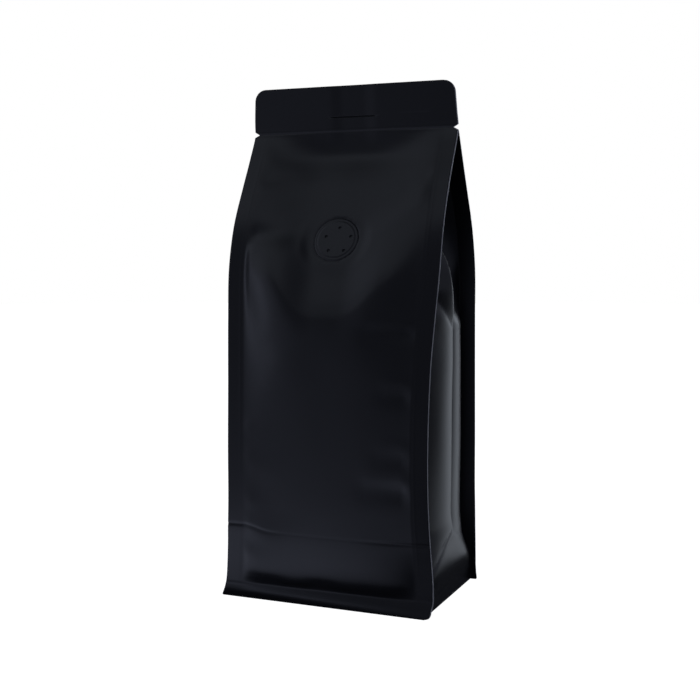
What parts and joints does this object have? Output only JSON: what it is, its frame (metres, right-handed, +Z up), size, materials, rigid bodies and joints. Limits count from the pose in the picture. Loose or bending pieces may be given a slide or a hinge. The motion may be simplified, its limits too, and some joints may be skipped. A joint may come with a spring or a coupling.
{
  "type": "flat bottom coffee bag",
  "caption": "Filled, sealed flat bottom pouch with folded side gussets, sealed corner fins, a flat header with tear notches and a one-way valve on its front.",
  "frame": {"origin": "middle of the base, on the surface that the bag stands on", "axes": "+Z up along the bag's height, -Y towards the front panel with the valve, +X to the right seen from the front"},
  "size_m": [0.1173, 0.0936, 0.268],
  "materials": {
    "film": "matt, soft-touch laminate film",
    "valve_plastic": "matt moulded plastic under film"
  },
  "bodies": {
    "root": {"bag": "film", "valve": "valve_plastic"}
  },
  "joints": []
}
